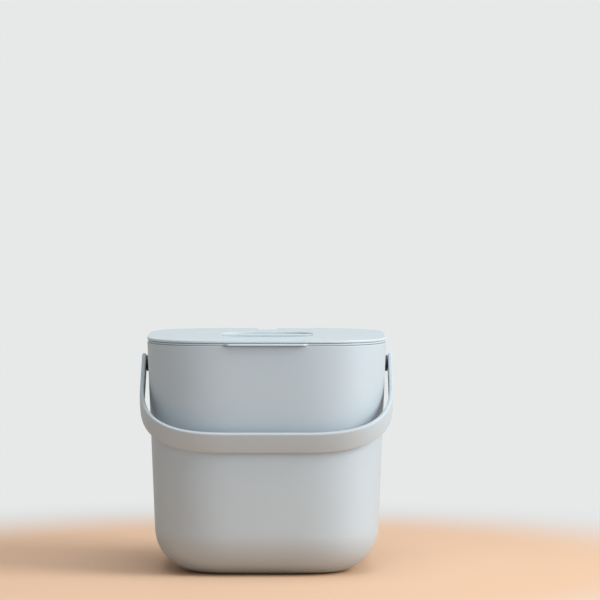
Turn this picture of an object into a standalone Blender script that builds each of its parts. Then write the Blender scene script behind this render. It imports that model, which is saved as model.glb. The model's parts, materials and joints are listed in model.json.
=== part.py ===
# Kitchen compost bin: a moulded bucket with a swing handle, a lift-out strainer basket and a flat lid.
# Metres, +Z up. The origin is the middle of the flat base. The basket's tab and the handle at rest face -Y.

import math

import bmesh
import bpy
from mathutils import Matrix, Vector

# Bucket
BIN_HALF_WIDTH = 0.110
BIN_HEIGHT = 0.211
BIN_CORNER_REACH = 0.087
BIN_WALL = 0.0022
BIN_FILLET = 0.0405
BIN_DRAFT = math.radians(2.25)
RIM_ROUNDING = 0.0006

# How square the corners of every plan outline are: 2 is a round corner, more is squarer.
CORNER_EXPONENT = 2.9
CORNER_STEPS = 8
FILLET_STEPS = 6
# A small outline's corners never curve over less than this share of its half width.
LEAST_REACH_SHARE = 0.25

# The clearance between pieces that touch, and the overrun of a cut past the surface it leaves by.
SEAT_GAP = 0.0003
OVERRUN = 0.002

# Handle: a flat band bent to a U, a little narrower towards the round ears at its pivots
PIVOT_DROP = 0.022
EAR_CLEARANCE = 0.0031
EAR_RADIUS = 0.0092
BAND_WIDTH = 0.021
BAND_THICKNESS = 0.0042
HANDLE_SLACK = 0.0197
HANDLE_CORNER_REACH = 0.083
BAND_ROUNDING = 0.0012
BAND_ROUNDING_STEPS = 2
HANDLE_CORNER_STEPS = 12
EAR_STEPS = 6

# Pivot pins
PIN_SHOULDER_RADIUS = 0.0074
PIN_RADIUS = 0.004
PIN_HEAD_RADIUS = 0.0058
PIN_HEAD_THICKNESS = 0.0018
PIN_JOURNAL_LENGTH = 0.0024
PIN_ROUNDING = 0.0004
PIN_STEPS = 24
PIN_MERGE_DISTANCE = 0.00001

# Strainer basket
FLANGE_INSET = 0.0008
FLANGE_WIDTH = 0.0092
BASKET_WALL = 0.0018
BASKET_DEPTH = 0.0665
BASKET_FILLET = 0.033
BASKET_DRAFT = math.radians(1.5)
BASKET_ROUNDING = 0.0006
TAB_LENGTH = 0.068
TAB_REACH = 0.0050
TAB_SLANT = 0.004
GUSSET_HEIGHT = 0.008
GUSSET_THICKNESS = 0.0016
GUSSET_SPACING = 0.058
GUSSET_TIP_SHARE = 0.25

# Drain slots of the basket
SLOT_WIDTH = 0.0021
WALL_SLOT_WIDTH = 0.0024
WALL_SLOT_HEIGHT = 0.017
WALL_SLOTS = 32
WALL_SLOT_SPREAD_STEPS = 48
FLOOR_SQUARE_HALF = 0.025
RING_MARGIN = 0.0041
RING_PITCH = 0.006
RING_EXPONENT = 2.75
MID_SLOT_LENGTH = 0.017
WEB_WIDTH = 0.006
OUTER_ARC_LENGTH = 0.0105
ARC_STEPS = 4

# Lid
LID_THICKNESS = 0.0024
LID_ROUNDING = 0.0008
LIP_CLEARANCE = 0.0006
LIP_HEIGHT = 0.006
LIP_WALL = 0.0016
WELL_HALF_WIDTH = 0.0418
WELL_CORNER_REACH = 0.034
WELL_DEPTH = 0.020
WELL_FILLET = 0.012
WELL_DRAFT = math.radians(6.0)
NOTCH_WIDTH = 0.018
NOTCH_DEPTH = 0.0285
NOTCH_MOUTH_ROUNDING = 0.0035
NOTCH_STEPS = 8

# Grip bar across the lid's well
BAR_WIDTH = 0.0176
BAR_HEIGHT = 0.0070
BAR_ROUNDING = 0.0007
TONGUE_WIDTH = 0.008
TONGUE_HEIGHT = 0.0022

BEVEL_SEGMENTS = 2
SKIN_BEVEL_SEGMENTS = 1
SHARP_ANGLE = math.radians(35)
BEVEL_ANGLE = math.radians(50)

# Places that follow from the sizes above
PIVOT_HEIGHT = BIN_HEIGHT - PIVOT_DROP
FLANGE_HALF = BIN_HALF_WIDTH - FLANGE_INSET
MOUTH_HALF = FLANGE_HALF - FLANGE_WIDTH
BASKET_SEAT = BIN_HEIGHT + SEAT_GAP
LID_HALF = BIN_HALF_WIDTH
LID_SEAT = BASKET_SEAT + BASKET_WALL + SEAT_GAP

PALE_PLASTIC = (0.50, 0.565, 0.60, 1.0)
BAR_PLASTIC = (0.53, 0.595, 0.63, 1.0)
BODY_PLASTIC = (0.44, 0.495, 0.53, 1.0)
PIN_PLASTIC = (0.045, 0.05, 0.05, 1.0)
SATIN_ROUGHNESS = 0.55
BAR_ROUGHNESS = 0.5
PIN_ROUGHNESS = 0.4


def clear_scene():
    for old in list(bpy.data.objects):
        bpy.data.objects.remove(old, do_unlink=True)


def make_collection(name):
    collection = bpy.data.collections.new(name)
    bpy.context.scene.collection.children.link(collection)
    return collection


def make_material(name, colour, roughness):
    material = bpy.data.materials.new(name)
    material.use_nodes = True
    shader = material.node_tree.nodes["Principled BSDF"]
    shader.inputs["Base Color"].default_value = colour
    shader.inputs["Roughness"].default_value = roughness
    shader.inputs["Metallic"].default_value = 0.0
    return material


# Plan outlines

def plan_outline(half, reach, steps=CORNER_STEPS, exponent=CORNER_EXPONENT):
    """A square of half width half whose corners curve over reach, as points counter-clockwise."""
    reach = min(reach, half)
    points = []
    for turn in range(4):
        for step in range(steps + 1):
            angle = math.pi / 2 * step / steps
            x = half - reach + reach * math.cos(angle) ** (2 / exponent)
            y = half - reach + reach * math.sin(angle) ** (2 / exponent)
            if step == steps:
                x = half - reach
            points.append(Vector((x, y)) @ quarter_turn(-turn))
    return points


def quarter_turn(count):
    return Matrix.Rotation(math.pi / 2 * count, 2)


def corner_reach(half):
    """The corner reach of an outline set in from the bucket's rim, so that its sides stay parallel."""
    return max(BIN_CORNER_REACH - (BIN_HALF_WIDTH - half), half * LEAST_REACH_SHARE)


def outline_ring(half, height):
    return [(p.x, p.y, height) for p in plan_outline(half, corner_reach(half))]


def well_ring(half, height):
    reach = max(WELL_CORNER_REACH - (WELL_HALF_WIDTH - half), half * LEAST_REACH_SHARE)
    return [(p.x, p.y, height) for p in plan_outline(half, reach)]


def cup_profile(top_half, top, bottom, draft, fillet):
    """Half widths and heights down a tapered wall and round its bottom fillet."""
    straight = top - bottom - fillet
    foot_half = top_half - straight * math.tan(draft)
    profile = [(top_half, top), (foot_half, bottom + fillet)]
    for step in range(1, FILLET_STEPS + 1):
        angle = math.pi / 2 * step / FILLET_STEPS
        inset = fillet * (1 - math.cos(angle))
        profile.append((foot_half - inset, bottom + fillet * (1 - math.sin(angle))))
    return profile


# Meshes and modifiers

def add_object(name, bm, collection, material=None):
    mesh = bpy.data.meshes.new(name)
    bm.normal_update()
    bm.to_mesh(mesh)
    bm.free()
    mesh.shade_smooth()
    mesh.set_sharp_from_angle(angle=SHARP_ANGLE)
    obj = bpy.data.objects.new(name, mesh)
    if material:
        mesh.materials.append(material)
    collection.objects.link(obj)
    return obj


def add_tool(name, bm, collection):
    tool = add_object(name, bm, collection)
    tool.hide_render = True
    tool.display_type = "WIRE"
    return tool


def loft(rings):
    """A skin through rings of as many points each, open at its first ring and capped at its last."""
    bm = bmesh.new()
    rows = [[bm.verts.new(point) for point in ring] for ring in rings]
    for upper, lower in zip(rows, rows[1:]):
        for i in range(len(upper)):
            j = (i + 1) % len(upper)
            bm.faces.new((upper[i], lower[i], lower[j], upper[j]))
    bm.faces.new(rows[-1][::-1])
    return bm


def capped_loft(rings):
    """A closed solid through rings, with its faces pointing out."""
    bm = loft(rings)
    bm.verts.ensure_lookup_table()
    bm.faces.new([bm.verts[i] for i in range(len(rings[0]))])
    return close_normals(bm)


def extrude_outline(bm, points, offset):
    """Adds a prism to bm: the flat outline of points, extruded by offset."""
    face = bm.faces.new([bm.verts.new(point) for point in points])
    grown = bmesh.ops.extrude_face_region(bm, geom=[face])["geom"]
    moved = [item for item in grown if isinstance(item, bmesh.types.BMVert)]
    bmesh.ops.translate(bm, verts=moved, vec=offset)


def close_normals(bm):
    bmesh.ops.recalc_face_normals(bm, faces=bm.faces)
    return bm


def add_cylinder(bm, radius, low, high, matrix):
    """Adds a cylinder along matrix's Z between low and high."""
    place = matrix @ Matrix.Translation((0, 0, (low + high) / 2))
    bmesh.ops.create_cone(
        bm, cap_ends=True, segments=PIN_STEPS, radius1=radius, radius2=radius, depth=high - low, matrix=place
    )


def add_box(bm, size, centre, matrix=Matrix.Identity(4)):
    place = matrix @ Matrix.Translation(centre) @ Matrix.Diagonal((*size, 1))
    bmesh.ops.create_cube(bm, size=1, matrix=place)


def solidify(obj, thickness):
    shell = obj.modifiers.new("wall", "SOLIDIFY")
    shell.thickness = thickness
    shell.offset = -1
    shell.use_even_offset = True


def bevel(obj, width, segments=BEVEL_SEGMENTS):
    rounding = obj.modifiers.new("rounding", "BEVEL")
    rounding.width = width
    rounding.segments = segments
    rounding.limit_method = "ANGLE"
    rounding.angle_limit = BEVEL_ANGLE


def boolean(obj, tool, operation):
    cut = obj.modifiers.new(tool.name, "BOOLEAN")
    cut.operation = operation
    cut.solver = "EXACT"
    cut.object = tool


# Bucket

def bin_half_at(height):
    return BIN_HALF_WIDTH - (BIN_HEIGHT - height) * math.tan(BIN_DRAFT)


def build_bin_body(parts, tools, material):
    profile = cup_profile(BIN_HALF_WIDTH, BIN_HEIGHT, 0, BIN_DRAFT, BIN_FILLET)
    bm = loft([outline_ring(half, height) for half, height in profile])
    body = add_object("bin_body", bm, parts, material)
    solidify(body, BIN_WALL)
    bevel(body, RIM_ROUNDING, SKIN_BEVEL_SEGMENTS)
    holes = bmesh.new()
    outside = bin_half_at(PIVOT_HEIGHT) + OVERRUN
    inside = bin_half_at(PIVOT_HEIGHT) - BIN_WALL - OVERRUN
    for side in (-1, 1):
        add_cylinder(holes, PIN_RADIUS + SEAT_GAP, inside, outside, pivot_matrix(side))
    boolean(body, add_tool("pin_holes", holes, tools), "DIFFERENCE")
    return body


def pivot_matrix(side):
    """The frame of a pivot: its Z runs outwards along the hinge line from the middle of the bucket."""
    return Matrix.Translation((0, 0, PIVOT_HEIGHT)) @ Matrix.Rotation(side * math.pi / 2, 4, "Y")


# Pivot pins

def build_pins(parts, material, body):
    wall = bin_half_at(PIVOT_HEIGHT)
    lean = PIN_HEAD_RADIUS * math.tan(BIN_DRAFT)
    shoulder_lean = PIN_SHOULDER_RADIUS * math.tan(BIN_DRAFT)
    ear = ear_inner()
    head_outer = wall - BIN_WALL - SEAT_GAP - lean
    shoulder_inner = wall + SEAT_GAP + shoulder_lean
    shoulder_outer = ear - SEAT_GAP
    journal_end = ear + PIN_JOURNAL_LENGTH
    profile = [
        (0, journal_end),
        (PIN_RADIUS - PIN_ROUNDING, journal_end),
        (PIN_RADIUS, journal_end - PIN_ROUNDING),
        (PIN_RADIUS, shoulder_outer),
        (PIN_SHOULDER_RADIUS, shoulder_outer),
        (PIN_SHOULDER_RADIUS, shoulder_inner),
        (PIN_RADIUS, shoulder_inner),
        (PIN_RADIUS, head_outer),
        (PIN_HEAD_RADIUS, head_outer),
        (PIN_RADIUS, head_outer - PIN_HEAD_THICKNESS),
        (0, head_outer - PIN_HEAD_THICKNESS),
    ]
    for side, name in ((-1, "pivot_pin_left"), (1, "pivot_pin_right")):
        bm = bmesh.new()
        verts = [bm.verts.new((radius, 0, height - wall)) for radius, height in profile]
        for upper, lower in zip(verts, verts[1:]):
            bm.edges.new((upper, lower))
        pin = add_object(name, bm, parts, material)
        turn = pin.modifiers.new("turned", "SCREW")
        turn.angle = 2 * math.pi
        turn.steps = PIN_STEPS
        turn.render_steps = PIN_STEPS
        turn.use_merge_vertices = True
        turn.merge_threshold = PIN_MERGE_DISTANCE
        turn.use_smooth_shade = True
        pin.matrix_world = pivot_matrix(side) @ Matrix.Translation((0, 0, wall))
        keep_place(pin, body)


def keep_place(child, parent):
    """Parents child to parent without moving it."""
    bpy.context.view_layer.update()
    child.parent = parent
    child.matrix_parent_inverse = parent.matrix_world.inverted()


# Handle

def ear_inner():
    return bin_half_at(PIVOT_HEIGHT) + EAR_CLEARANCE


def handle_reach():
    """How far the band's inner face lies from the hinge line: past the bucket's wall, with slack."""
    return bin_half_at(PIVOT_HEIGHT) + HANDLE_SLACK


def rest_angle():
    """How far below level the handle hangs when the lower inner edge of its band meets the front wall."""
    slope = math.tan(BIN_DRAFT)
    across = handle_reach() + slope * BAND_WIDTH / 2
    down = slope * handle_reach() - BAND_WIDTH / 2
    wall = bin_half_at(PIVOT_HEIGHT) + SEAT_GAP
    return math.atan2(down, across) + math.acos(wall / math.hypot(across, down))


def band_half_width(depth):
    """Half the band's width at a depth before the hinge line, where it starts from the ear's radius."""
    return EAR_RADIUS + (BAND_WIDTH / 2 - EAR_RADIUS) * depth / handle_reach()


def handle_path():
    """Stations along the band from ear to ear: inner point, outward direction and half width."""
    inner = ear_inner()
    corner = min(HANDLE_CORNER_REACH, inner)
    stations = []
    for step in range(EAR_STEPS):
        angle = math.pi / 2 * (step + 1) / (EAR_STEPS + 1)
        height = EAR_RADIUS * math.cos(angle)
        stations.append((Vector((inner, height)), Vector((1, 0)), EAR_RADIUS * math.sin(angle)))
    stations.append((Vector((inner, 0)), Vector((1, 0)), EAR_RADIUS))
    centre = Vector((inner - corner, corner - handle_reach()))
    for step in range(HANDLE_CORNER_STEPS + 1):
        angle = math.pi / 2 * step / HANDLE_CORNER_STEPS
        across = math.cos(angle) ** (2 / CORNER_EXPONENT)
        down = math.sin(angle) ** (2 / CORNER_EXPONENT)
        slope = Vector((across ** (CORNER_EXPONENT - 1), -down ** (CORNER_EXPONENT - 1)))
        point = centre + corner * Vector((across, -down))
        stations.append((point, slope.normalized(), band_half_width(-point.y)))
    mirrored = [(Vector((-p.x, p.y)), Vector((-d.x, d.y)), w) for p, d, w in reversed(stations)]
    return stations + mirrored


def band_section(inner, outward, half_width):
    """The band's rounded section at one station, as points round the band."""
    rounding = min(BAND_ROUNDING, half_width, BAND_THICKNESS / 2)
    middle = inner + outward * BAND_THICKNESS / 2
    section = []
    for turn, (across, up) in enumerate(((1, 1), (-1, 1), (-1, -1), (1, -1))):
        for step in range(BAND_ROUNDING_STEPS + 1):
            angle = math.pi / 2 * (turn + step / BAND_ROUNDING_STEPS)
            reach = across * (BAND_THICKNESS / 2 - rounding) + rounding * math.cos(angle)
            point = middle + outward * reach
            section.append((point.x, point.y, up * (half_width - rounding) + rounding * math.sin(angle)))
    return section


def build_handle(parts, tools, material):
    bm = capped_loft([band_section(*station) for station in handle_path()])
    handle = add_object("handle", bm, parts, material)
    handle.location = (0, 0, PIVOT_HEIGHT)
    handle.rotation_euler = (rest_angle(), 0, 0)
    bores = bmesh.new()
    mouth = ear_inner() - OVERRUN
    end = ear_inner() + PIN_JOURNAL_LENGTH + SEAT_GAP
    for side in (-1, 1):
        matrix = Matrix.Rotation(side * math.pi / 2, 4, "Y")
        add_cylinder(bores, PIN_RADIUS + SEAT_GAP, mouth, end, matrix)
    tool = add_tool("ear_bores", bores, tools)
    tool.location = handle.location
    tool.rotation_euler = handle.rotation_euler
    boolean(handle, tool, "DIFFERENCE")
    return handle


# Strainer basket

def basket_profile():
    """Half widths and heights of the basket's upper skin, from the flange's edge to the floor."""
    top = BASKET_WALL
    bowl = cup_profile(MOUTH_HALF, top, top - BASKET_DEPTH, BASKET_DRAFT, BASKET_FILLET)
    return [(FLANGE_HALF, top)] + bowl


def basket_floor():
    return BASKET_WALL - BASKET_DEPTH


def floor_flat_half():
    return basket_profile()[-1][0]


def tab_and_gussets():
    """The front tab and the ribs under the flange, each run a little into the flange or the wall."""
    bm = bmesh.new()
    front = -FLANGE_HALF
    edge = front - TAB_REACH
    inside = front + FLANGE_WIDTH / 2
    root = TAB_LENGTH / 2 + TAB_SLANT
    tip = TAB_LENGTH / 2
    tab = [(-root, inside), (-root, front), (-tip, edge), (tip, edge), (root, front), (root, inside)]
    extrude_outline(bm, [(x, y, 0) for x, y in tab], (0, 0, BASKET_WALL))
    side_mouth = side_at(MOUTH_HALF, GUSSET_SPACING)
    side_outer = side_at(bin_inner_half(), GUSSET_SPACING) - SEAT_GAP
    corner_mouth = diagonal_reach(MOUTH_HALF)
    corner_outer = diagonal_reach(bin_inner_half()) - SEAT_GAP
    for turn in range(4):
        for side in (-1, 1):
            quarter = Matrix.Rotation(math.pi / 2 * turn, 4, "Z")
            place = quarter @ Matrix.Translation((0, side * GUSSET_SPACING, 0))
            add_gusset(bm, place, side_mouth, side_outer)
        corner = Matrix.Rotation(math.pi / 4 + math.pi / 2 * turn, 4, "Z")
        add_gusset(bm, corner, corner_mouth, corner_outer)
    return close_normals(bm)


def bin_inner_half():
    """The bucket's inner half width where the gussets are."""
    return BIN_HALF_WIDTH - BIN_WALL - GUSSET_HEIGHT * math.tan(BIN_DRAFT)


def diagonal_reach(half):
    """How far an outline of this half width reaches along its diagonal."""
    reach = corner_reach(half)
    corner = half - reach + reach * 0.5 ** (1 / CORNER_EXPONENT)
    return corner * math.sqrt(2)


def side_at(half, along):
    """The distance of an outline from the middle, measured square to a side, at a place along that side."""
    reach = corner_reach(half)
    past = max(abs(along) - (half - reach), 0) / reach
    return half - reach + reach * max(1 - past ** CORNER_EXPONENT, 0) ** (1 / CORNER_EXPONENT)


def add_gusset(bm, place, mouth, outer):
    inner = mouth + BASKET_WALL / 2 - GUSSET_HEIGHT * math.tan(BASKET_DRAFT)
    foot = inner + BASKET_WALL
    half = GUSSET_THICKNESS / 2
    into = BASKET_WALL / 2
    low = -GUSSET_HEIGHT
    tip = low * GUSSET_TIP_SHARE
    outline = [(inner, into), (inner, low), (foot, low), (outer, tip), (outer, into)]
    points = [place @ Vector((x, -half, z)) for x, z in outline]
    extrude_outline(bm, points, place.to_3x3() @ Vector((0, GUSSET_THICKNESS, 0)))


def ring_height(half, along):
    """How far out a squared ring lies from the axis at a place along it."""
    return half * (1 - (along / half) ** RING_EXPONENT) ** (1 / RING_EXPONENT)


def ring_halves():
    """Half widths of the floor's rings of slots, from the floor's edge in to its plain centre."""
    outer = floor_flat_half() - RING_MARGIN
    rings = int((outer - FLOOR_SQUARE_HALF) / RING_PITCH)
    return [outer - RING_PITCH * ring for ring in range(rings + 1)]


def slot_paths():
    """Centre lines of the floor slots in the first eighth and the middle of one side, facing +X."""
    half_mid = MID_SLOT_LENGTH / 2
    start = half_mid + WEB_WIDTH
    middles = []
    eighths = []
    for ring, half in enumerate(ring_halves()):
        corner = half * 0.5 ** (1 / RING_EXPONENT)
        end = corner - WEB_WIDTH / 2 / math.sqrt(2)
        if ring > 0:
            middles.append([Vector((half, -half_mid)), Vector((half, half_mid))])
            first = start
        else:
            first = max(end - OUTER_ARC_LENGTH / math.sqrt(2), start)
        if end - first > SLOT_WIDTH / 2:
            steps = [first + (end - first) * i / ARC_STEPS for i in range(ARC_STEPS + 1)]
            eighths.append([Vector((ring_height(half, along), along)) for along in steps])
    return middles, eighths


def add_strip(bm, path, width, low, high):
    """Adds a slot cutter: a strip of one width along path, between two heights."""
    left, right = [], []
    for i, point in enumerate(path):
        along = path[min(i + 1, len(path) - 1)] - path[max(i - 1, 0)]
        across = Vector((-along.y, along.x)).normalized() * width / 2
        left.append(point + across)
        right.append(point - across)
    outline = [(p.x, p.y, low) for p in left + right[::-1]]
    extrude_outline(bm, outline, (0, 0, high - low))


def floor_slots():
    bm = bmesh.new()
    low = basket_floor() - BASKET_WALL - OVERRUN
    high = basket_floor() + OVERRUN
    middles, eighths = slot_paths()
    for turn in range(4):
        spin = quarter_turn(turn)
        for path in middles:
            add_strip(bm, [spin @ p for p in path], SLOT_WIDTH, low, high)
        for path in eighths:
            add_strip(bm, [spin @ p for p in path], SLOT_WIDTH, low, high)
            mirrored = [spin @ Vector((p.x, -p.y)) for p in path]
            add_strip(bm, mirrored, SLOT_WIDTH, low, high)
    return close_normals(bm)


def wall_slot_places():
    """Foot point and outward direction of each wall slot, even along the edge of the flat floor."""
    half = floor_flat_half()
    outline = plan_outline(half, corner_reach(half), steps=WALL_SLOT_SPREAD_STEPS)
    loop = outline + outline[:1]
    lengths = [0]
    for a, b in zip(loop, loop[1:]):
        lengths.append(lengths[-1] + (b - a).length)
    total = lengths[-1]
    side_middle = half - corner_reach(half)
    places = []
    for slot in range(WALL_SLOTS):
        wanted = (total * slot / WALL_SLOTS - side_middle) % total
        i = max(k for k in range(len(lengths)) if lengths[k] <= wanted and k < len(outline))
        a, b = loop[i], loop[i + 1]
        share = (wanted - lengths[i]) / (b - a).length
        along = (b - a).normalized()
        places.append((a.lerp(b, share), Vector((along.y, -along.x))))
    return places


def wall_slots():
    bm = bmesh.new()
    length = BASKET_FILLET + BASKET_WALL + OVERRUN
    low = basket_floor() - BASKET_WALL - OVERRUN
    high = basket_floor() + WALL_SLOT_HEIGHT
    for foot, outward in wall_slot_places():
        turn = Matrix.Rotation(math.atan2(outward.y, outward.x), 4, "Z")
        place = Matrix.Translation((foot.x, foot.y, (low + high) / 2)) @ turn
        add_box(bm, (length, WALL_SLOT_WIDTH, high - low), (length / 2, 0, 0), place)
    return bm


def build_basket(parts, tools, material):
    bm = loft([outline_ring(half, height) for half, height in basket_profile()])
    for face in bm.faces:
        face.normal_flip()
    basket = add_object("strainer_basket", bm, parts, material)
    solidify(basket, BASKET_WALL)
    bevel(basket, BASKET_ROUNDING, SKIN_BEVEL_SEGMENTS)
    seat = (0, 0, BASKET_SEAT)
    basket.location = seat
    for name, cutter, operation in (
        ("tab_and_gussets", tab_and_gussets(), "UNION"),
        ("floor_slots", floor_slots(), "DIFFERENCE"),
        ("wall_slots", wall_slots(), "DIFFERENCE"),
    ):
        tool = add_tool(name, cutter, tools)
        tool.location = seat
        boolean(basket, tool, operation)
    return basket


# Lid

def lid_rings():
    """Rings of the lid's upper skin: the plate's edge, the well's edge, its wall and its floor."""
    top = LID_THICKNESS
    well = cup_profile(WELL_HALF_WIDTH, top, top - WELL_DEPTH, WELL_DRAFT, WELL_FILLET)
    return [outline_ring(LID_HALF, top)] + [well_ring(half, height) for half, height in well]


def locating_lip():
    """The rib under the lid that drops into the basket's mouth, open at the notch, run up into the plate."""
    outer = MOUTH_HALF - LIP_CLEARANCE - LIP_HEIGHT * math.tan(BASKET_DRAFT)
    inner = outer - LIP_WALL
    into = LID_THICKNESS / 2
    rings = [
        [(o.x, o.y, into), (o.x, o.y, -LIP_HEIGHT), (i.x, i.y, -LIP_HEIGHT), (i.x, i.y, into)]
        for o, i in zip(lip_path(outer), lip_path(inner))
    ]
    return capped_loft(rings)


def lip_path(half):
    """An outline that starts and ends beside the notch in the back."""
    outline = plan_outline(half, corner_reach(half))
    beside = min(NOTCH_WIDTH / 2 + LIP_WALL, half - corner_reach(half))
    corner = CORNER_STEPS + 1
    return [Vector((-beside, half))] + outline[corner:] + outline[:corner] + [Vector((beside, half))]


def notch_outline():
    """A slot with a round end and a rounded mouth in the lid's back edge."""
    half = NOTCH_WIDTH / 2
    edge = LID_HALF
    mouth = NOTCH_MOUTH_ROUNDING
    end_centre = edge - NOTCH_DEPTH + half
    right = [(half + mouth, edge + OVERRUN)]
    for step in range(NOTCH_STEPS + 1):
        angle = math.pi / 2 * step / NOTCH_STEPS
        right.append((half + mouth * (1 - math.sin(angle)), edge - mouth * (1 - math.cos(angle))))
    for step in range(1, NOTCH_STEPS):
        angle = math.pi / 2 * step / NOTCH_STEPS
        right.append((half * math.cos(angle), end_centre - half * math.sin(angle)))
    left = [(-x, y) for x, y in reversed(right)]
    return right + [(0, edge - NOTCH_DEPTH)] + left


def tongue_box(bm, gap):
    """Adds the boxes at both ends of the grip bar that reach through the well's wall."""
    reach = LID_THICKNESS
    middle = LID_THICKNESS - BAR_HEIGHT / 2
    start = bar_half_length(middle) - OVERRUN
    for side in (-1, 1):
        length = OVERRUN + reach + gap
        size = (length, TONGUE_WIDTH + 2 * gap, TONGUE_HEIGHT + 2 * gap)
        add_box(bm, size, (side * (start + length / 2), 0, middle))


def build_lid(parts, tools, material):
    bm = loft(lid_rings())
    for face in bm.faces:
        face.normal_flip()
    lid = add_object("lid", bm, parts, material)
    solidify(lid, LID_THICKNESS)
    bevel(lid, LID_ROUNDING, SKIN_BEVEL_SEGMENTS)
    seat = (0, 0, LID_SEAT)
    lid.location = seat
    notch = bmesh.new()
    low = -LIP_HEIGHT - OVERRUN
    extrude_outline(notch, [(x, y, low) for x, y in notch_outline()], (0, 0, LID_THICKNESS + OVERRUN - low))
    sockets = bmesh.new()
    tongue_box(sockets, SEAT_GAP)
    for name, cutter, operation in (
        ("lid_notch", close_normals(notch), "DIFFERENCE"),
        ("bar_sockets", sockets, "DIFFERENCE"),
        ("locating_lip", locating_lip(), "UNION"),
    ):
        tool = add_tool(name, cutter, tools)
        tool.location = seat
        boolean(lid, tool, operation)
    return lid


# Grip bar

def bar_half_length(height):
    """Half the bar's length at a height, a seat's gap short of the well's leaning wall."""
    return WELL_HALF_WIDTH - (LID_THICKNESS - height) * math.tan(WELL_DRAFT) - SEAT_GAP


def build_grip_bar(parts, tools, material, lid):
    top = LID_THICKNESS
    foot = top - BAR_HEIGHT
    right = [(bar_half_length(foot), foot), (bar_half_length(top), top)]
    outline = right + [(-x, z) for x, z in reversed(right)]
    bm = bmesh.new()
    extrude_outline(bm, [(x, -BAR_WIDTH / 2, z) for x, z in outline], (0, BAR_WIDTH, 0))
    bar = add_object("lid_grip_bar", close_normals(bm), parts, material)
    bar.location = lid.location
    bevel(bar, BAR_ROUNDING)
    tongues = bmesh.new()
    tongue_box(tongues, 0)
    tool = add_tool("bar_tongues", tongues, tools)
    tool.location = lid.location
    boolean(bar, tool, "UNION")
    keep_place(bar, lid)


def main():
    clear_scene()
    parts = make_collection("Kitchen compost bin")
    tools = make_collection("Cutters")
    body_plastic = make_material("bin_plastic", BODY_PLASTIC, SATIN_ROUGHNESS)
    pale_plastic = make_material("pale_plastic", PALE_PLASTIC, SATIN_ROUGHNESS)
    bar_plastic = make_material("bar_plastic", BAR_PLASTIC, BAR_ROUGHNESS)
    pin_plastic = make_material("pin_plastic", PIN_PLASTIC, PIN_ROUGHNESS)
    body = build_bin_body(parts, tools, body_plastic)
    build_pins(parts, pin_plastic, body)
    build_handle(parts, tools, body_plastic)
    build_basket(parts, tools, pale_plastic)
    lid = build_lid(parts, tools, pale_plastic)
    build_grip_bar(parts, tools, bar_plastic, lid)
    bpy.context.view_layer.update()


main()
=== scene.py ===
# The looks of the kitchen compost bin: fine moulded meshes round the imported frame, plastic, light and camera.

import bisect
import json
import math

import bmesh
import bpy
from mathutils import Matrix, Vector


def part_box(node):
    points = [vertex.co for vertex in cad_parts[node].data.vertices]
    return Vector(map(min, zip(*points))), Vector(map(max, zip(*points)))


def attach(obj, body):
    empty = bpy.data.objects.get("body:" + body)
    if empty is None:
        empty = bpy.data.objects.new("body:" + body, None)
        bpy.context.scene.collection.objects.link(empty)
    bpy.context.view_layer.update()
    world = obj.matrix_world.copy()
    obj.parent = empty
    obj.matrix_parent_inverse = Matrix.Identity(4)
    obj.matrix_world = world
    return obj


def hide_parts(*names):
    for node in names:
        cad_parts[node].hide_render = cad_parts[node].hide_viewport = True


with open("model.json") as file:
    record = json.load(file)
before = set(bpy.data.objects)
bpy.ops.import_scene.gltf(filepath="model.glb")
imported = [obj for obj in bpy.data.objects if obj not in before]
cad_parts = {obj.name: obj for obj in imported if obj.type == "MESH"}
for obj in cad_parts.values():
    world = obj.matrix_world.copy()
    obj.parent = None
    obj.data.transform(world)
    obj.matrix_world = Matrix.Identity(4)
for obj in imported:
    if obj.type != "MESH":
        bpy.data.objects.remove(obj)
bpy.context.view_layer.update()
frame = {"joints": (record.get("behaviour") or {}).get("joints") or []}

# Places read from the frame
BIN_LOW, BIN_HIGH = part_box("bin_body")
BASKET_LOW, BASKET_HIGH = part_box("strainer_basket")
LID_LOW, LID_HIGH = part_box("lid")
BAR_LOW, BAR_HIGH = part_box("lid_grip_bar")
HINGE = Vector(next(j["pos_m"] for j in frame["joints"] if j["name"] == "handle_swing"))

# Bucket
BIN_HALF = BIN_HIGH.x
BIN_TOP = BIN_HIGH.z
BIN_CORNER_REACH = 0.087
BIN_WALL = 0.0022
BIN_FILLET = 0.0405
BIN_DRAFT = math.radians(2.25)
RIM_ROUNDING = 0.0009
CAP_INSET = 0.006

# How square the corners of every plan outline are: 2 is a round corner, more is squarer.
CORNER_EXPONENT = 2.9
LEAST_REACH_SHARE = 0.25
CORNER_STEPS = 26
SIDE_STEPS = 6
ARC_STEPS = 16
LONGEST_STEP = 0.012

# How far a profile runs on from a rounded edge, in radii of the rounding
RUN_ON_RADII = 3

# The gap round a piece that sits in another, and how far a cutter runs past what it cuts
SEAT_GAP = 0.0003
OVERRUN = 0.002

# Handle
EAR_CLEARANCE = 0.0031
EAR_RADIUS = 0.0092
BAND_WIDTH = 0.021
BAND_THICKNESS = 0.0042
HANDLE_SLACK = 0.0197
HANDLE_CORNER_REACH = 0.083
BAND_ROUNDING = 0.0014
BAND_EDGE_STEPS = 6
BAND_CORNER_STEPS = 44
BAND_RUN_STEPS = 8
EAR_STEPS = 12

# The crown of the band's outer face: how far it drops at the edges, and over what width
CROWN_DROP = 0.0005
CROWN_REACH = 0.008
CROWN_STEPS = 4

# Pivot pins
PIN_SHOULDER_RADIUS = 0.0074
PIN_RADIUS = 0.004
PIN_HEAD_RADIUS = 0.0058
PIN_HEAD_THICKNESS = 0.0018
PIN_JOURNAL_LENGTH = 0.0024
PIN_ROUNDING = 0.0004
PIN_ARC_STEPS = 4
PIN_SEGMENTS = 48

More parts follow.
